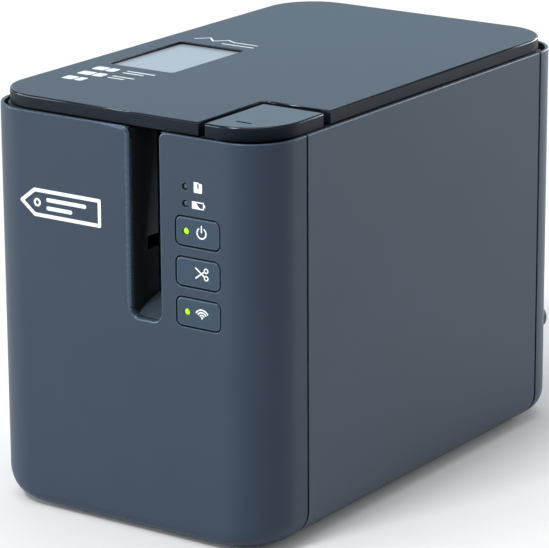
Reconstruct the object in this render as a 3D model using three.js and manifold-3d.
// A desktop label maker: a tall casing of five shells, a hinged lid with a window, a release button in the
// lid's front right corner, three panel keys beside the tape slot, and the print, feed and cutter mechanism
// inside. Millimetres, +Z up, front towards -Y. The origin is on the surface it stands on, under the middle
// of its bounding box.
import * as THREE from "three";
import { mergeVertices } from "three/addons/utils/BufferGeometryUtils.js";
import Module from "manifold-3d";

const wasm = await Module();
wasm.setup();

// ---- Driving dimensions ----
const width = 118;
const depth = 192;
const height = 146;
const bumperProud = 2.6; // how far the two rear bumpers stand out behind the casing
const frontY = -(depth + bumperProud) / 2;
const footHeight = 1.3;
const shellTop = 141.3; // top edge of the front, side and rear covers
const wall = 2.2;
const lipWall = 1.3; // the covers thin to this at their top edge
const lipBottom = 137;
const cornerRadius = { front: 16.5, rear: 17.5 }; // upright edges, in plan
const lowerSideRadius = 10; // long lower edges
const lowerEndRadius = 4; // short lower edges
const seamGap = 0.8;
const frontSeam = 23.4; // distances behind the front face
const rearSeam = 173.5;
const baseHalfWidth = 46.6;

const lidTop = height;
const lidBottom = 142.1;
const lidPlate = 2;
const lidSkirt = 1.8;
const lidHalfWidth = width / 2 - 1.7;
const lidFront = 2.15;
const lidRear = depth - 3.2;
const lidRadii = { frontLeft: 18, frontRight: 19.5, rear: 19.5 };
const notchLeft = 30.6;
const notchRear = 39.4;
const hingeBehind = 182;
const hingeZ = 141;
const hingeX = 38;
const windowBox = { x0: -47.5, x1: -19.5, y0: 55.8, y1: 99, radius: 1.6 };

const buttonLeft = 32.8;
const buttonRear = 35.8;
const buttonCorner = 0.6;
const buttonTravel = 2;
const stem = { x: 46, behind: 23.6, radius: 3.2 };

const deckTop = 140.8;
const deckBottom = 136.4;
const pocketZ = 138.6; // deck level under the release button
const troughZ = 133; // floor behind the deck, where the lid's rear edge swings down

const slot = { x0: 3.4, x1: 16.1, floor: 76.2, radius: 3.4, shoulder: 2.6 };
const tapeX = 9.8;

const bay = { x0: -52, x1: 13.4, y0: 31.5, y1: 118, floor: 90, wall: 1.8 };
const niche = { x0: 4, x1: 31.8, y0: 31.5, y1: 85 };

const module_ = 1;
const gearZ = 80.5;
const gearThick = 5;
const teeth = { reduction: 40, platen: 20, ribbon: 24, motor: 12, sector: 30, cutter: 12 };

const keyX = 31.3;
const keySize = { wide: 17.4, tall: 9.6, radius: 2 };
const keyZ = { power: 109.3, feed_cut: 95.5, wireless: 81.7 };
const lampX = 26.5;
const statusZ = { tape: 124.4, battery: 118.6 };
const boardBehind = 7.4; // front face of the panel board

// ---- Materials ----
function finish(color, roughness, metalness = 0) {
  return new THREE.MeshStandardMaterial({ color, roughness, metalness });
}
const casingGrey = finish(0x47535f, 0.55);
const lidCharcoal = finish(0x262b30, 0.5);
const innerBlack = finish(0x17191b, 0.6);
const windowClear = finish(0xb9c7d1, 0.3);
const lampGreen = finish(0x9be000, 0.3);
const lampDark = finish(0x2c353d, 0.25);
const rubber = finish(0x1c1c1c, 0.9);
const steel = finish(0x9a9da0, 0.35, 1);
const aluminium = finish(0xb5b8bb, 0.45, 1);
const gearPlastic = finish(0xd9d6cb, 0.5);
const boardGreen = finish(0x1f5b3a, 0.6);
const tinShell = finish(0xaeb0b2, 0.3, 1);
const socketBlack = finish(0x111213, 0.5);
const ceramic = finish(0xe8e2d6, 0.4);

// ---- Solids ----
// A three.js geometry as a closed solid that can be joined and cut.
function solid(geometry) {
  const flat = geometry.index ? geometry.toNonIndexed() : geometry;
  const bare = new THREE.BufferGeometry().setAttribute("position", flat.getAttribute("position"));
  const merged = mergeVertices(bare, 1e-4);
  const vertProperties = merged.attributes.position.array;
  const triVerts = new Uint32Array(merged.index.array);
  return new wasm.Manifold(new wasm.Mesh({ numProp: 3, vertProperties, triVerts }));
}

function geometryOf(made) {
  const { vertProperties, triVerts, numProp, numVert } = made.getMesh();
  const position = new Float32Array(numVert * 3);
  for (let i = 0; i < numVert; i++) {
    position.set(vertProperties.subarray(i * numProp, i * numProp + 3), i * 3);
  }
  const geometry = new THREE.BufferGeometry();
  geometry.setAttribute("position", new THREE.BufferAttribute(position, 3));
  geometry.setIndex(new THREE.BufferAttribute(triVerts, 1));
  geometry.computeVertexNormals();
  return geometry;
}

function join(...solids) {
  return solids.reduce((a, b) => a.add(b));
}

function cut(from, ...tools) {
  return tools.reduce((a, b) => a.subtract(b), from);
}

function part(name, made, material, x = 0, y = 0, z = 0) {
  const geometry = made.isBufferGeometry ? made : geometryOf(made);
  const mesh = new THREE.Mesh(geometry, material);
  mesh.name = name;
  mesh.position.set(x, y, z);
  return mesh;
}

function group(x, y, z, ...children) {
  const made = new THREE.Group();
  made.position.set(x, y, z);
  made.add(...children);
  return made;
}

// y of a place given as its distance behind the front face.
function behind(distance) {
  return frontY + distance;
}

function block(x0, x1, y0, y1, z0, z1) {
  const box = new THREE.BoxGeometry(x1 - x0, y1 - y0, z1 - z0);
  return solid(box.translate((x0 + x1) / 2, (y0 + y1) / 2, (z0 + z1) / 2));
}

// A round bar between two heights on the upright line through x, y.
function upright(x, y, z0, z1, radius, segments = 20, topRadius = radius) {
  const bar = new THREE.CylinderGeometry(topRadius, radius, z1 - z0, segments);
  return solid(bar.rotateX(Math.PI / 2).translate(x, y, (z0 + z1) / 2));
}

function barAlongY(x, z, y0, y1, radius, segments = 16) {
  return solid(new THREE.CylinderGeometry(radius, radius, y1 - y0, segments).translate(x, (y0 + y1) / 2, z));
}

function barAlongX(y, z, x0, x1, radius, segments = 16) {
  const bar = new THREE.CylinderGeometry(radius, radius, x1 - x0, segments);
  return solid(bar.rotateZ(Math.PI / 2).translate((x0 + x1) / 2, y, z));
}

function prismUp(shape, z0, z1, curveSegments = 3) {
  const made = new THREE.ExtrudeGeometry(shape, { depth: z1 - z0, bevelEnabled: false, curveSegments });
  return solid(made.translate(0, 0, z0));
}

// A shape drawn in x and z, extruded from y0 to y1.
function prismAlongY(shape, y0, y1, curveSegments = 3) {
  const made = new THREE.ExtrudeGeometry(shape, { depth: y1 - y0, bevelEnabled: false, curveSegments });
  return solid(made.rotateX(Math.PI / 2).translate(0, y1, 0));
}

// A shape drawn in y and z, extruded from x0 to x1.
function prismAlongX(shape, x0, x1, curveSegments = 3) {
  const made = new THREE.ExtrudeGeometry(shape, { depth: x1 - x0, bevelEnabled: false, curveSegments });
  const turn = new THREE.Matrix4().makeBasis(
    new THREE.Vector3(0, 1, 0),
    new THREE.Vector3(0, 0, 1),
    new THREE.Vector3(1, 0, 0),
  );
  return solid(made.applyMatrix4(turn).translate(x0, 0, 0));
}

// A rectangle with a radius at each corner, from the lower left one anticlockwise.
function roundedRect(x0, x1, y0, y1, radii) {
  const [r0, r1, r2, r3] = (Array.isArray(radii) ? radii : Array(4).fill(radii)).map((r) => Math.max(r, 0));
  const quarter = Math.PI / 2;
  const shape = new THREE.Shape();
  shape.moveTo(x0 + r0, y0);
  shape.lineTo(x1 - r1, y0);
  if (r1) shape.absarc(x1 - r1, y0 + r1, r1, -quarter, 0);
  shape.lineTo(x1, y1 - r2);
  if (r2) shape.absarc(x1 - r2, y1 - r2, r2, 0, quarter);
  shape.lineTo(x0 + r3, y1);
  if (r3) shape.absarc(x0 + r3, y1 - r3, r3, quarter, 2 * quarter);
  shape.lineTo(x0, y0 + r0);
  if (r0) shape.absarc(x0 + r0, y0 + r0, r0, 2 * quarter, 3 * quarter);
  return shape;
}

function polygon(points) {
  return new THREE.Shape(points.map(([x, y]) => new THREE.Vector2(x, y)));
}

// ---- Casing ----
// How far a rounded lower edge of this radius stands in, at a height above the bottom.
function edgeInset(height_, radius) {
  return height_ < radius ? radius - Math.sqrt(radius ** 2 - (radius - height_) ** 2) : 0;
}

// The casing's outline in plan, moved in by an offset and then by a further amount at each side and end.
function planOutline(offset, side = 0, end = 0, steps = 6) {
  const front = cornerRadius.front - offset;
  const rear = cornerRadius.rear - offset;
  const halfWidth = width / 2 - offset - side;
  const [y0, y1] = [frontY + offset + end, frontY + depth - offset - end];
  const centres = [
    [halfWidth - front, y0 + front, -90, front],
    [halfWidth - rear, y1 - rear, 0, rear],
    [-halfWidth + rear, y1 - rear, 90, rear],
    [-halfWidth + front, y0 + front, 180, front],
  ];
  const points = [];
  for (const [cx, cy, from, radius] of centres) {
    for (let i = 0; i <= steps; i++) {
      const angle = THREE.MathUtils.degToRad(from + (90 * i) / steps);
      points.push([cx + radius * Math.cos(angle), cy + radius * Math.sin(angle)]);
    }
  }
  return points;
}

// The casing's outer form moved in by an offset, up to a height, as stacked outlines.
function envelope(offset, top) {
  const sideRadius = lowerSideRadius - offset;
  const endRadius = lowerEndRadius - offset;
  const steps = 8;
  const levels = [];
  for (let i = 0; i <= steps; i++) {
    levels.push(sideRadius * (1 - Math.cos((Math.PI / 2) * (i / steps))));
  }
  levels.push(top - footHeight - offset);
  const rings = levels.map((level) => {
    const outline = planOutline(offset, edgeInset(level, sideRadius), edgeInset(level, endRadius));
    return outline.map(([x, y]) => [x, y, footHeight + offset + level]);
  });
  const count = rings[0].length;
  const faces = [];
  for (let k = 0; k + 1 < rings.length; k++) {
    for (let i = 0; i < count; i++) {
      const j = (i + 1) % count;
      const [a, b, c, d] = [k * count + i, k * count + j, (k + 1) * count + j, (k + 1) * count + i];
      faces.push(a, b, c, a, c, d);
    }
  }
  const last = (rings.length - 1) * count;
  for (let i = 1; i + 1 < count; i++) {
    faces.push(0, i + 1, i, last, last + i, last + i + 1);
  }
  const geometry = new THREE.BufferGeometry();
  geometry.setAttribute("position", new THREE.Float32BufferAttribute(rings.flat(2), 3));
  geometry.setIndex(faces);
  return solid(geometry);
}

function casingShell() {
  const lip = prismUp(polygon(planOutline(lipWall)), lipBottom, shellTop + 1);
  return cut(envelope(0, shellTop), envelope(wall, shellTop + 1), lip);
}

const farOut = 200;

// The tape slot, with the cover's top corners beside it rounded over.
function slotOutline() {
  const { x0, x1, floor, radius, shoulder } = slot;
  const quarter = Math.PI / 2;
  const shape = new THREE.Shape();
  shape.moveTo(x0 + radius, floor);
  shape.absarc(x1 - radius, floor + radius, radius, -quarter, 0);
  shape.absarc(x1 + shoulder, shellTop - shoulder, shoulder, 2 * quarter, quarter, true);
  shape.lineTo(x1 + shoulder, shellTop + 20);
  shape.lineTo(x0 - shoulder, shellTop + 20);
  shape.absarc(x0 - shoulder, shellTop - shoulder, shoulder, quarter, 0, true);
  shape.absarc(x0 + radius, floor + radius, radius, 2 * quarter, 3 * quarter);
  return shape;
}

function keyOutline(z, grow) {
  const { wide, tall, radius } = keySize;
  return roundedRect(
    keyX - wide / 2 - grow, keyX + wide / 2 + grow, z - tall / 2 - grow, z + tall / 2 + grow, radius + grow,
  );
}

function screwPost(x, y, z0, z1) {
  return cut(upright(x, y, z0, z1, 3.2, 12), upright(x, y, z0 - 1, z0 + 8, 1.2, 10));
}

function frontCover(shell) {
  const whole = shell.intersect(block(-farOut, farOut, -farOut, behind(frontSeam - seamGap / 2), -10, farOut));
  const throughFront = [behind(-5), behind(wall + 1)];
  const openings = Object.values(keyZ).map((z) => prismAlongY(keyOutline(z, 0.35), ...throughFront));
  const lampHoles = Object.values(statusZ).map((z) => barAlongY(lampX, z, ...throughFront, 1.25, 12));
  return cut(whole, prismAlongY(slotOutline(), ...throughFront), ...openings, ...lampHoles);
}

const ports = {
  power_jack: { x: -34, z: 24, wide: 9.4, tall: 9.4 },
  usb_device_socket: { x: -14, z: 23.6, wide: 12, tall: 10.8 },
  usb_host_socket: { x: 8, z: 21.8, wide: 14.4, tall: 7.2 },
  network_socket: { x: 32, z: 25.2, wide: 16, tall: 13.4 },
};
const portFace = depth - 1.6; // the sockets' mouths, just inside the rear face
const bumperAt = { x: 47.9, z: 35, radius: 5 };

function rearCover(shell) {
  const whole = shell.intersect(block(-farOut, farOut, behind(rearSeam + seamGap / 2), farOut, -10, farOut));
  const openings = Object.values(ports).map(({ x, z, wide, tall }) => block(
    x - wide / 2 - 0.4, x + wide / 2 + 0.4, behind(depth - wall - 2), behind(depth + 3),
    z - tall / 2 - 0.4, z + tall / 2 + 0.4,
  ));
  const pads = [-1, 1].map((side) => {
    const pad = barAlongY(side * bumperAt.x, bumperAt.z, behind(depth - 9), behind(depth), bumperAt.radius, 16);
    return pad.subtract(envelope(wall, shellTop));
  });
  const vents = [];
  for (let row = 0; row < 5; row++) {
    const z = 96 + 7 * row;
    vents.push(block(-26, 26, behind(depth - wall - 2), behind(depth + 3), z, z + 2.4));
  }
  return cut(join(whole, ...pads), ...openings, ...vents);
}

function sideCover(shell, side) {
  const [x0, x1] = side > 0 ? [baseHalfWidth + 0.2, farOut] : [-farOut, -baseHalfWidth - 0.2];
  const between = [behind(frontSeam + seamGap / 2), behind(rearSeam - seamGap / 2)];
  return shell.intersect(block(x0, x1, ...between, -10, farOut));
}

const footAt = [[-36, 36], [36, 36], [-36, 160], [36, 160]];
const footRadius = 7;

function basePlate(shell) {
  const between = [behind(frontSeam + seamGap / 2), behind(rearSeam - seamGap / 2)];
  const floor = shell.intersect(block(-baseHalfWidth, baseHalfWidth, ...between, -10, 30));
  const standoffs = [[-40, 96], [40, 96], [-40, 164], [40, 164]].map(([x, d]) => (
    upright(x, behind(d), footHeight + wall - 0.2, boardZ - 0.3, 3, 10)
  ));
  const ribs = [60, 84].map((d) => block(-44, 44, behind(d), behind(d + 1.6), footHeight + 1, footHeight + 7));
  const pockets = footAt.map(([x, d]) => upright(x, behind(d), 0, footHeight + 0.8, footRadius + 0.3, 20));
  return cut(join(floor, ...standoffs, ...ribs), ...pockets);
}

function foot() {
  return upright(0, 0, 0, footHeight + 0.7, footRadius - 0.6, 20, footRadius);
}

function rearBumper() {
  const dome = [[0, 0], [4.2, 0], [4.2, 0.7], [3.4, 1.9], [2, 2.45], [0, bumperProud]];
  const turned = new THREE.LatheGeometry(dome.map(([x, y]) => new THREE.Vector2(x, y)), 16);
  return solid(turned);
}

// ---- Deck and cassette bay ----
function bayOutline(grow) {
  const main = [bay.x0 - grow, bay.x1 + grow, behind(bay.y0) - grow, behind(bay.y1) + grow];
  const side = [niche.x0, niche.x1 + grow, behind(niche.y0) - grow, behind(niche.y1) + grow];
  return [main, side];
}

function bayColumn(grow, z0, z1) {
  const [main, side] = bayOutline(grow);
  return join(prismUp(roundedRect(...main, 3), z0, z1, 2), prismUp(roundedRect(...side, [0, 3, 3, 0]), z0, z1, 2));
}

const hookAt = { x0: 23.4, x1: 25.8, y0: 20.4, y1: 26.4 };

function deck() {
  const inset = wall + 0.3;
  const plan = (z0, z1) => prismUp(polygon(planOutline(inset)), z0, z1);
  const frontPart = plan(deckBottom, deckTop).intersect(
    block(-farOut, farOut, -farOut, behind(179.5), 0, farOut),
  );
  const trough = plan(troughZ - 2, troughZ).intersect(
    block(-farOut, farOut, behind(178), farOut, 0, farOut),
  );
  const step = plan(troughZ - 2, deckTop).intersect(
    block(-farOut, farOut, behind(178), behind(179.5), 0, farOut),
  );
  const lugs = [-1, 1].flatMap((side) => [-3.6, 3.6].map((shift) => {
    const x = side * hingeX + shift;
    const web = block(x - 1.4, x + 1.4, behind(hingeBehind) - 2.6, behind(hingeBehind) - 0.4, troughZ - 1, hingeZ);
    return join(web, barAlongX(behind(hingeBehind), hingeZ, x - 1.4, x + 1.4, 2.6));
  }));
  const pinHoles = [-1, 1].map((side) => (
    barAlongX(behind(hingeBehind), hingeZ, side * hingeX - 6, side * hingeX + 6, 1.45, 12)
  ));
  const posts = [[-50, 16], [50, 46], [-50, 150], [50, 150]].map(([x, d]) => (
    screwPost(x, behind(d), footHeight + wall + 9, deckBottom + 0.5)
  ));
  const pocket = block(notchLeft + 0.6, farOut, -farOut, behind(notchRear - 1), pocketZ, farOut);
  const chuteGap = block(slot.x0 - 2.4, slot.x1 + 2.4, -farOut, behind(bay.y0 + 1), 0, farOut);
  const stemHole = upright(stem.x, behind(stem.behind), deckBottom - 1, deckTop, stem.radius + 0.6, 16);
  const hookHole = block(
    hookAt.x0 - 1.2, hookAt.x1 + 4.6, behind(hookAt.y0 - 2), behind(hookAt.y1 + 1.4), deckBottom - 1, deckTop + 1,
  );
  return cut(
    join(frontPart, trough, step, ...lugs, ...posts),
    bayColumn(0.2, deckBottom - 1, deckTop + 1), pocket, chuteGap, stemHole, hookHole, ...pinHoles,
  );
}

function cassetteBay() {
  const outer = bayColumn(bay.wall, bay.floor - 2, deckBottom - 0.3);
  const inner = bayColumn(0, bay.floor, farOut);
  const tapeGap = block(5.6, 15, behind(bay.y0 - 4), behind(bay.y0 + 1), bay.floor + 1.2, farOut);
  const ribbonHole = upright(ribbonCentre.x, behind(ribbonCentre.d), bay.floor - 4, bay.floor + 1, 4.6, 16);
  const shaftSlot = prismUp(roundedRect(
    platenCentre.x - 3.4, platenCentre.x + 9, behind(platenCentre.d) - 4, behind(platenCentre.d) + 4, 3,
  ), bay.floor - 4, bay.floor + 1);
  const pivotHole = upright(holderPivot.x, behind(holderPivot.d), bay.floor - 4, bay.floor + 1, 2.6, 12);
  const supplyPost = upright(-32, behind(84), bay.floor - 0.5, bay.floor + 9, 5.6, 20, 4.8);
  const guidePosts = [[-47, 37], [-47, 112], [8, 112]].map(([x, d]) => (
    upright(x, behind(d), bay.floor - 0.5, bay.floor + 16, 2.2, 12, 1.7)
  ));
  return join(cut(outer, inner, tapeGap, ribbonHole, shaftSlot, pivotHole), supplyPost, ...guidePosts);
}

// ---- Lid ----
function lidOutline(grow = 0) {
  const [x0, x1] = [-lidHalfWidth - grow, lidHalfWidth + grow];
  const { frontLeft, frontRight, rear } = lidRadii;
  const radii = [frontLeft, frontRight, rear, rear].map((radius) => radius + grow);
  return roundedRect(x0, x1, behind(lidFront) - grow, behind(lidRear) + grow, radii);
}

function lidShell() {
  const inside = lidTop - lidPlate;
  const notch = prismUp(roundedRect(
    notchLeft, farOut, -farOut, behind(notchRear), [0, 0, 0, 3],
  ), 0, farOut);
  const notchInner = prismUp(roundedRect(
    notchLeft - lidSkirt, farOut, -farOut, behind(notchRear) + lidSkirt, [0, 0, 0, 3 + lidSkirt],
  ), 0, farOut);
  const hollow = cut(prismUp(lidOutline(-lidSkirt), lidBottom - 1, inside), notchInner);
  const { x0, x1, y0, y1, radius } = windowBox;
  const frame = prismUp(roundedRect(x0 - 2.6, x1 + 2.6, behind(y0) - 2.6, behind(y1) + 2.6, 2), inside - 1.5, inside + 0.5);
  const opening = prismUp(roundedRect(x0, x1, behind(y0), behind(y1), radius), 0, farOut);
  const ears = [-1, 1].map((side) => {
    const [from, to] = [side * hingeX - 1.7, side * hingeX + 1.7];
    const web = block(from, to, behind(hingeBehind) - 2.5, behind(hingeBehind) + 2.5, hingeZ, inside + 0.5);
    return join(web, barAlongX(behind(hingeBehind), hingeZ, from, to, 2.5));
  });
  const pinHoles = [-1, 1].map((side) => (
    barAlongX(behind(hingeBehind), hingeZ, side * hingeX - 3, side * hingeX + 3, 1.45, 12)
  ));
  const ribs = [110, 136, 162].map((d) => (
    block(-lidHalfWidth + 1, lidHalfWidth - 1, behind(d), behind(d + 1.4), inside - 1.4, inside + 0.5)
  ));
  const whole = cut(prismUp(lidOutline(), lidBottom, lidTop, 5), hollow, notch);
  return cut(join(whole, frame, ...ears, ...ribs), opening, ...pinHoles);
}

function lidWindow() {
  const { x0, x1, y0, y1, radius } = windowBox;
  const gap = 0.15;
  const pane = prismUp(roundedRect(
    x0 + gap, x1 - gap, behind(y0) + gap, behind(y1) - gap, radius,
  ), lidTop - 3.4, lidTop - 0.9);
  return pane;
}

// A tongue with a ledge, screwed under the lid beside the release button's notch.
function lidHook() {
  const { x0, x1, y0, y1 } = hookAt;
  const top = lidTop - lidPlate - 0.02;
  const flange = block(x0 - 4, x1 + 1.6, behind(y0), behind(y1), top - 1.6, top);
  const tongue = block(x0, x1, behind(y0), behind(y1), 128, top);
  const ledge = prismAlongY(polygon([[x1 - 0.2, 127.9], [x1 + 2.4, 130.4], [x1 + 2.4, 131.2], [x1 - 0.2, 131.2]]),
    behind(y0), behind(y1));
  return join(flange, tongue, ledge);
}

function hingePin() {
  return barAlongX(0, 0, -5.4, 5.4, 1.15, 12);
}

// ---- Release button and latch ----
function buttonOutline(grow) {
  return roundedRect(
    buttonLeft - grow, lidHalfWidth + grow, behind(lidFront) - grow, behind(buttonRear) + grow,
    [buttonCorner + grow, lidRadii.frontRight + grow, buttonCorner + grow, buttonCorner + grow],
  );
}

function releaseButton() {
  const cap = cut(prismUp(buttonOutline(0), lidBottom, lidTop, 5), prismUp(buttonOutline(-1.8), 0, lidTop - 2, 5));
  const shaft = upright(stem.x, behind(stem.behind), 133, lidTop - 1.5, stem.radius, 16);
  const tip = upright(stem.x, behind(stem.behind), latchPad + 0.4, 133.5, 1.1, 10, stem.radius);
  const mark = block(40, 46, behind(10), behind(10.9), lidTop - 0.35, lidTop + 1);
  return cut(join(cap, shaft, tip), mark);
}

const latchAxis = { x: 36, z: 127.4 };
const latchPad = 129.6;

// A bell crank under the deck: the button's stem pushes its right arm down and its catch swings off the hook.
function latchLever() {
  const profile = polygon([
    [-7.4, 7.4], [-7.4, 5], [-3, 1.6], [-2.6, -2.6], [12.4, -0.4], [12.4, 2.2], [7, 2.2], [2.4, 2.6], [-3.6, 7.4],
  ]);
  const arm = prismAlongY(profile, -3, 3);
  return cut(join(arm, barAlongY(0, 0, -3.4, 3.4, 3)), barAlongY(0, 0, -5, 5, 1.4, 12));
}

function latchPin() {
  return barAlongY(0, 0, -6.4, 6.4, 1.15, 12);
}

function latchBracket() {
  const { x, z } = latchAxis;
  const plate = block(x - 0.6, x + 5, -5.9, 5.9, deckBottom - 1.7, deckBottom - 0.1);
  const ears = [-1, 1].map((side) => block(x - 3, x + 3, side * 5 - 0.9, side * 5 + 0.9, z - 3, deckBottom - 1));
  return cut(join(plate, ...ears), barAlongY(x, z, -8, 8, 1.4, 12));
}

// A coil of round wire with closed ends, standing on its lower end.
function coilSpring(radius, wire, tall, turns) {
  class Coil extends THREE.Curve {
    getPoint(t, target = new THREE.Vector3()) {
      const angle = 2 * Math.PI * turns * t;
      return target.set(radius * Math.cos(angle), radius * Math.sin(angle), wire / 2 + (tall - wire) * t);
    }
  }
  const section = new THREE.Shape().absarc(0, 0, wire / 2, 0, 2 * Math.PI);
  return solid(new THREE.ExtrudeGeometry(section, {
    steps: Math.round(turns * 14), curveSegments: 3, extrudePath: new Coil(), bevelEnabled: false,
  }));
}

// ---- Panel keys ----
// The key's face is at y = 0 and its stem points to +Y; its own middle is the origin.
function panelKey(withLamp) {
  const { wide, tall, radius } = keySize;
  const face = prismAlongY(roundedRect(-wide / 2, wide / 2, -tall / 2, tall / 2, radius), 0, 3, 4);
  const flange = prismAlongY(roundedRect(-wide / 2 - 1, wide / 2 + 1, -tall / 2 - 1, tall / 2 + 1, radius), 2.5, 3.5);
  const shaft = barAlongY(2.6, 0, 3, keyStemEnd, 1.6, 12);
  const key = join(face, flange, shaft);
  return withLamp ? key.subtract(barAlongY(lampX - keyX, 0, -1, 5, 1.4, 12)) : key;
}

const keyStemEnd = boardBehind - 2.6;

function lightPipe(face, radius) {
  return barAlongY(0, 0, face, boardBehind - 0.2, radius, 12);
}

function panelBoard() {
  const board = block(19.6, 44, behind(boardBehind), behind(boardBehind + 1.6), 72, 130);
  const holes = [[41.5, 75], [41.5, 127], [22, 75]].map(([x, z]) => (
    barAlongY(x, z, behind(boardBehind) - 1, behind(boardBehind) + 3, 1.3, 10)
  ));
  const connector = block(24, 38, behind(boardBehind + 1.4), behind(boardBehind + 6), 74, 79);
  return join(cut(board, ...holes), connector);
}

function keySwitch() {
  return join(block(-3, 3, -1.5, 0, -3, 3), barAlongY(0, 0, -1.8, -1, 1.5, 10));
}

// ---- Exit chute and cutter ----
function exitChute() {
  const [front, rear] = [behind(wall + 0.3), behind(16)];
  const outer = prismAlongY(roundedRect(
    slot.x0 - 1.7, slot.x1 + 1.7, slot.floor - 3, deckTop - 0.6, [3, 3, 0, 0],
  ), front, rear);
  const rise = 5; // the floor climbs this much towards the cutter
  const channel = prismAlongY(roundedRect(slot.x0, slot.x1, slot.floor, farOut, [3.4, 3.4, 0, 0]), front - 1, rear + 1);
  const ramp = prismAlongX(polygon([
    [front, slot.floor - 2], [rear, slot.floor - 2], [rear, slot.floor + rise], [front, slot.floor + 0.4],
  ]), slot.x0 - 0.5, slot.x1 + 0.5);
  const sensorHole = block(slot.x0 - 3, slot.x0 + 1, behind(10), rear + 1, 97, 101.6);
  const feetLugs = [slot.x0 - 6, slot.x1 + 1.2].map((x) => block(x, x + 5, rear - 3, rear, 84, 90));
  return cut(join(cut(outer, channel), ramp, ...feetLugs), sensorHole);
}

const cutterAxis = { x: 13, z: 84 };
const bladeLean = 19; // degrees open from upright
const sectorRadius = (teeth.sector * module_) / 2;
const cutterPinionRadius = (teeth.cutter * module_) / 2;

function fixedBlade() {
  const blade = block(1.2, 8.9, behind(17), behind(18), 88, 137);
  const tail = block(-6, 6, behind(17), behind(18), 66, 90);
  return join(blade, tail);
}

function cutterFrame() {
  const plate = block(-7, 31, behind(20.2), behind(21.8), 56, 89);
  const riser = block(-7, 0, behind(20.2), behind(21.8), 88, 118);
  const bladeSeat = join(
    block(-7, -1.6, behind(18.1), behind(20.4), 66, 76),
    block(-7, 4.4, behind(18.1), behind(20.4), 104, 118),
  );
  const pivotPin = barAlongY(cutterAxis.x, cutterAxis.z, behind(16.8), behind(21), 1.9, 12);
  const pinionHole = barAlongY(cutterAxis.x, pinionZ, behind(19), behind(23), 2.2, 12);
  return join(cut(join(plate, riser, bladeSeat), pinionHole), pivotPin);
}

const pinionZ = cutterAxis.z - sectorRadius - cutterPinionRadius - 0.1;

// The moving blade, drawn upright about its pivot, with a toothed sector below the pivot.
function movingBlade() {
  const blade = prismAlongY(polygon([
    [-4.1, 4], [-4.1, 48.5], [-1, 50], [3, 50], [3.4, 30], [5, 3], [-2, -1],
  ]), -0.5, 0.5);
  const hub = barAlongY(0, 0, -0.5, 0.5, 5.4, 20);
  const lean = THREE.MathUtils.degToRad(bladeLean);
  const sector = gearSolid(teeth.sector, 1, 0, gearSweep(-Math.PI / 2 + lean - 0.62, -Math.PI / 2 + lean + 0.62));
  const turned = solid(geometryOf(sector).rotateX(Math.PI / 2).translate(0, 0.5, 0));
  return cut(join(blade, hub, turned), barAlongY(0, 0, -2, 2, 2.2, 12));
}

// ---- Gears ----
// A spur gear with straight flanks, cut shallow enough to run with backlash, its teeth along Z.
function gearOutline(count, phase) {
  const pitch = (count * module_) / 2;
  const profile = [
    [pitch - 1.15 * module_, 0.98], [pitch + 0.8 * module_, 0.34],
  ];
  const points = [];
  for (let i = 0; i < count; i++) {
    const middle = phase + (2 * Math.PI * i) / count;
    const [[root, rootHalf], [tip, tipHalf]] = profile;
    for (const [radius, half] of [[root, -rootHalf], [tip, -tipHalf], [tip, tipHalf], [root, rootHalf]]) {
      const angle = middle + (half * module_) / radius;
      points.push([radius * Math.cos(angle), radius * Math.sin(angle)]);
    }
  }
  return points;
}

function gearSweep(from, to) {
  const points = [[0, 0]];
  for (let i = 0; i <= 8; i++) {
    const angle = from + ((to - from) * i) / 8;
    points.push([farOut * Math.cos(angle), farOut * Math.sin(angle)]);
  }
  return points;
}

function gearSolid(count, thick, phase, sweep) {
  const whole = prismUp(polygon(gearOutline(count, phase)), 0, thick);
  return sweep ? whole.intersect(prismUp(polygon(sweep), -1, thick + 1)) : whole;
}

// The phase that puts a driven gear's gaps on a driver's teeth, seen along the line between their centres.
function meshPhase(driverPhase, driver, driven, direction) {
  return direction + Math.PI + (driver / driven) * (direction - driverPhase) + Math.PI / driven;
}

function boredGear(count, phase, bore, webHoles) {
  let gear = gearSolid(count, gearThick, phase);
  for (let i = 0; i < webHoles; i++) {
    const angle = (2 * Math.PI * i) / webHoles;
    gear = gear.subtract(upright(12 * Math.cos(angle), 12 * Math.sin(angle), -1, gearThick + 1, 3.4, 12));
  }
  return gear.subtract(upright(0, 0, -1, gearThick + 1, bore, 14));
}

const reductionCentre = { x: -13.8, d: 45.7 };
const centreTo = (driven, degrees) => {
  const distance = ((teeth.reduction + teeth[driven]) * module_) / 2 + 0.05;
  const angle = THREE.MathUtils.degToRad(degrees);
  return {
    x: reductionCentre.x + distance * Math.cos(angle),
    d: reductionCentre.d + distance * Math.sin(angle),
    phase: meshPhase(0, teeth.reduction, teeth[driven], angle),
  };
};
const platenCentre = centreTo("platen", -15);
const ribbonCentre = centreTo("ribbon", 68);
const motorCentre = centreTo("motor", 160);
const holderPivot = { x: 23, d: 78 };
const platenRadius = 5;

function gearPlate() {
  const plate = block(-54.5, 24, behind(26), behind(86), 75.4, 77);
  const motorHole = upright(motorCentre.x, behind(motorCentre.d), 70, 80, 8.2, 20);
  const post = upright(reductionCentre.x, behind(reductionCentre.d), 76.5, gearZ + gearThick + 1.6, 1.9, 14);
  const platenClear = prismUp(roundedRect(
    platenCentre.x - 4, platenCentre.x + 12, behind(platenCentre.d) - 5, behind(platenCentre.d) + 5, 3,
  ), 70, 80);
  const ribbonHole = upright(ribbonCentre.x, behind(ribbonCentre.d), 70, 80, 2.3, 12);
  return join(cut(plate, motorHole, platenClear, ribbonHole), post);
}

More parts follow.
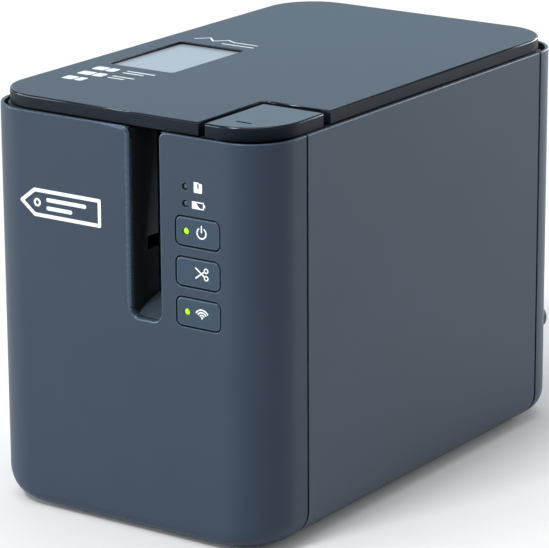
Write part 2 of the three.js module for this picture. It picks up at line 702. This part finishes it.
function driveMotor() {
  const body = cut(block(-17.5, 17.5, -17.5, 17.5, 45, 75.2), ...[[-1, -1], [1, -1], [1, 1], [-1, 1]].map(
    ([sx, sy]) => block(Math.min(sx * 17, sx * 30), Math.max(sx * 17, sx * 30), Math.min(sy * 12, sy * 30),
      Math.max(sy * 12, sy * 30), 40, 80),
  ));
  return cut(join(body, upright(0, 0, 75, 76.6, 7.6, 20)), upright(0, 0, 60, 80, 2.9, 12));
}

function motorPinion() {
  const shaft = upright(0, 0, 64, gearZ + gearThick + 1, 2.4, 12);
  return join(shaft, solid(geometryOf(gearSolid(teeth.motor, gearThick, motorCentre.phase)).translate(0, 0, gearZ)));
}

// The take-up spindle: a splined post that drives the ribbon core in the cassette.
function ribbonSpindle() {
  const outline = [];
  for (let i = 0; i < 6; i++) {
    for (const [radius, turn] of [[2.7, 0], [2.7, 22], [3.7, 26], [3.7, 44]]) {
      const angle = THREE.MathUtils.degToRad(60 * i + turn);
      outline.push([radius * Math.cos(angle), radius * Math.sin(angle)]);
    }
  }
  const splines = prismUp(polygon(outline), bay.floor - 2, bay.floor + 22);
  const nose = upright(0, 0, bay.floor + 21.5, bay.floor + 25, 2.6, 12, 1.2);
  const shaft = upright(0, 0, 74, bay.floor + 1, 1.9, 12);
  return join(shaft, splines, nose);
}

function platenShaft() {
  return upright(0, 0, 77.6, 138.4, 1.9, 14);
}

function platenRoller() {
  return cut(upright(0, 0, 95, 133, platenRadius, 24), upright(0, 0, 90, 140, 2.2, 14));
}

// The swinging bracket that carries the platen between two plates, with its pivot at the origin.
function rollerHolder() {
  const [px, py] = [platenCentre.x - holderPivot.x, platenCentre.d - holderPivot.d];
  const arm = roundedRect(px - 4, 4, py - 4.4, 4, 3.4);
  const trim = block(-30, px + 3.2, py + 8, 10, 80, 150); // leaves the cassette's side clear
  const plates = [[91.2, 93.4], [134.6, 136.8]].map(([z0, z1]) => prismUp(arm, z0, z1, 2).subtract(trim));
  const back = block(px + 7, px + 9, py - 4, 1, 93, 135);
  const barrel = upright(0, 0, 91.2, 136.8, 4, 14);
  const bores = [upright(px, py, 80, 150, 2.3, 14), upright(0, 0, 80, 150, 2.2, 14)];
  return cut(join(...plates, back, barrel), ...bores);
}

function holderPost() {
  return upright(0, 0, 86.4, 137.6, 1.9, 14);
}

function headSink() {
  const sink = block(3.6, 6.8, behind(33.2), behind(47), bay.floor + 0.1, 136);
  const foot_ = block(-3, 6.8, behind(36), behind(47), bay.floor + 0.1, bay.floor + 2.2);
  return join(sink, foot_);
}

function printHead() {
  return join(
    block(6.9, 8.1, behind(34.2), behind(42.2), 93, 134),
    block(8, 8.6, behind(37.4), behind(38.9), 95, 132),
  );
}

// ---- Cutter motor and electronics ----
const boardZ = 15;

function cutterMotor() {
  const can = barAlongY(0, 0, behind(22), behind(46), 9, 20);
  const boss = barAlongY(0, 0, behind(45.8), behind(48), 3.4, 12);
  return cut(join(can, boss), barAlongY(0, 0, behind(20), behind(33), 2, 12));
}

function cutterPinion() {
  const phase = meshPhase(-Math.PI / 2, teeth.sector, teeth.cutter, -Math.PI / 2);
  const gear = solid(geometryOf(gearSolid(teeth.cutter, 1.6, phase)).rotateX(Math.PI / 2).translate(0, behind(19.7), 0));
  return join(gear, barAlongY(0, 0, behind(18), behind(31), 1.5, 12));
}

function mainBoard() {
  const board = block(-43, 43, behind(92), behind(180), boardZ, boardZ + 1.6);
  const chips = [[-20, 118, 16, 16, 1.6], [14, 112, 12, 9, 1.4], [22, 136, 10, 10, 1.4]].map(
    ([x, d, w, l, t]) => block(x, x + w, behind(d), behind(d + l), boardZ + 1.4, boardZ + 1.6 + t),
  );
  const capacitors = [[-32, 130], [-32, 144]].map(([x, d]) => (
    upright(x, behind(d), boardZ + 1.4, boardZ + 15, 5, 14)
  ));
  return join(board, ...chips, ...capacitors);
}

// A socket in a thin shell, open to the rear, standing on the main board.
function socket({ wide, tall, z }, thick, deep) {
  const [front, rear] = [behind(portFace - deep), behind(portFace)];
  const outer = block(-wide / 2, wide / 2, front, rear, z - tall / 2, z + tall / 2);
  const inner = block(
    -wide / 2 + thick, wide / 2 - thick, front + 1.5, rear + 1, z - tall / 2 + thick, z + tall / 2 - thick,
  );
  const stand = z - tall / 2 - (boardZ + 1.8);
  const legs = stand > 0.2
    ? [block(-wide / 2 + 1, wide / 2 - 1, front, rear - 4, boardZ + 1.8, z - tall / 2 + 0.3)]
    : [];
  return join(cut(outer, inner), ...legs);
}

// ---- The assembly ----
const shell = casingShell();
const machine = new THREE.Group();

machine.add(
  part("front_cover", frontCover(shell), casingGrey),
  part("rear_cover", rearCover(shell), casingGrey),
  part("left_side_cover", sideCover(shell, -1), casingGrey),
  part("right_side_cover", sideCover(shell, 1), casingGrey),
  part("base_plate", basePlate(shell), innerBlack),
  part("deck", deck(), innerBlack),
  part("cassette_bay", cassetteBay(), innerBlack),
);
footAt.forEach(([x, d], i) => machine.add(part(`foot_${i + 1}`, foot(), rubber, x, behind(d), 0)));
for (const [side, name] of [[-1, "left"], [1, "right"]]) {
  machine.add(
    part(`rear_bumper_${name}`, rearBumper(), rubber, side * bumperAt.x, behind(depth), bumperAt.z),
    part(`hinge_pin_${name}`, hingePin(), steel, side * hingeX, behind(hingeBehind), hingeZ),
  );
}

machine.add(
  part("lid_shell", lidShell(), lidCharcoal),
  part("lid_window", lidWindow(), windowClear),
  part("lid_hook", lidHook(), steel),
);

const springSeat = pocketZ + 0.05;
machine.add(
  part("release_button", releaseButton(), lidCharcoal),
  part(
    "release_spring", coilSpring(4.9, 0.8, lidTop - 2.05 - springSeat, 4), steel,
    stem.x, behind(stem.behind), springSeat,
  ),
  group(latchAxis.x, behind(stem.behind), latchAxis.z,
    part("latch_lever", latchLever(), gearPlastic),
    part("latch_pin", latchPin(), steel)),
  part("latch_bracket", latchBracket(), steel, 0, behind(stem.behind), 0),
);

for (const [name, z] of Object.entries(keyZ)) {
  const lit = name !== "feed_cut";
  machine.add(
    part(`${name}_key`, panelKey(lit), casingGrey, keyX, frontY, z),
    part(`${name}_switch`, keySwitch(), socketBlack, keyX + 2.6, behind(boardBehind) - 0.05, z),
  );
  if (lit) machine.add(part(`${name}_lamp`, lightPipe(0.35, 1.15), lampGreen, lampX, frontY, z));
}
for (const [name, z] of Object.entries(statusZ)) {
  machine.add(part(`${name}_lamp`, lightPipe(0.9, 1.05), lampDark, lampX, frontY, z));
}
machine.add(part("panel_board", panelBoard(), boardGreen));

machine.add(
  part("exit_chute", exitChute(), innerBlack),
  part("fixed_blade", fixedBlade(), steel),
  part("cutter_frame", cutterFrame(), steel),
  part("cutter_motor", cutterMotor(), tinShell, cutterAxis.x, 0, pinionZ),
  part("cutter_pinion", cutterPinion(), gearPlastic, cutterAxis.x, 0, pinionZ),
);
const blade = part("moving_blade", movingBlade(), steel, cutterAxis.x, behind(18.9), cutterAxis.z);
blade.rotation.y = THREE.MathUtils.degToRad(bladeLean);
machine.add(blade);

machine.add(
  part("gear_plate", gearPlate(), steel),
  part("drive_motor", driveMotor(), tinShell, motorCentre.x, behind(motorCentre.d), 0),
  part("motor_pinion", motorPinion(), gearPlastic, motorCentre.x, behind(motorCentre.d), 0),
  part("reduction_gear", boredGear(teeth.reduction, 0, 2.2, 6), gearPlastic,
    reductionCentre.x, behind(reductionCentre.d), gearZ),
  group(platenCentre.x, behind(platenCentre.d), 0,
    part("platen_shaft", platenShaft(), steel),
    part("platen_gear", boredGear(teeth.platen, platenCentre.phase, 2.2, 0), gearPlastic, 0, 0, gearZ),
    part("platen_roller", platenRoller(), rubber)),
  group(ribbonCentre.x, behind(ribbonCentre.d), 0,
    part("ribbon_spindle", ribbonSpindle(), gearPlastic),
    part("ribbon_gear", boredGear(teeth.ribbon, ribbonCentre.phase, 2.2, 0), gearPlastic, 0, 0, gearZ)),
  group(holderPivot.x, behind(holderPivot.d), 0,
    part("roller_holder", rollerHolder(), steel),
    part("holder_post", holderPost(), steel)),
  part("head_heat_sink", headSink(), aluminium),
  part("print_head", printHead(), ceramic),
);

machine.add(part("main_board", mainBoard(), boardGreen));
const socketForms = { power_jack: [1.4, 12], usb_device_socket: [1.2, 14], usb_host_socket: [0.8, 14],
  network_socket: [1.2, 16] };
for (const [name, [thick, deep]] of Object.entries(socketForms)) {
  const material = name === "power_jack" ? socketBlack : tinShell;
  machine.add(part(name, socket(ports[name], thick, deep), material, ports[name].x, 0, 0));
}

export default machine;
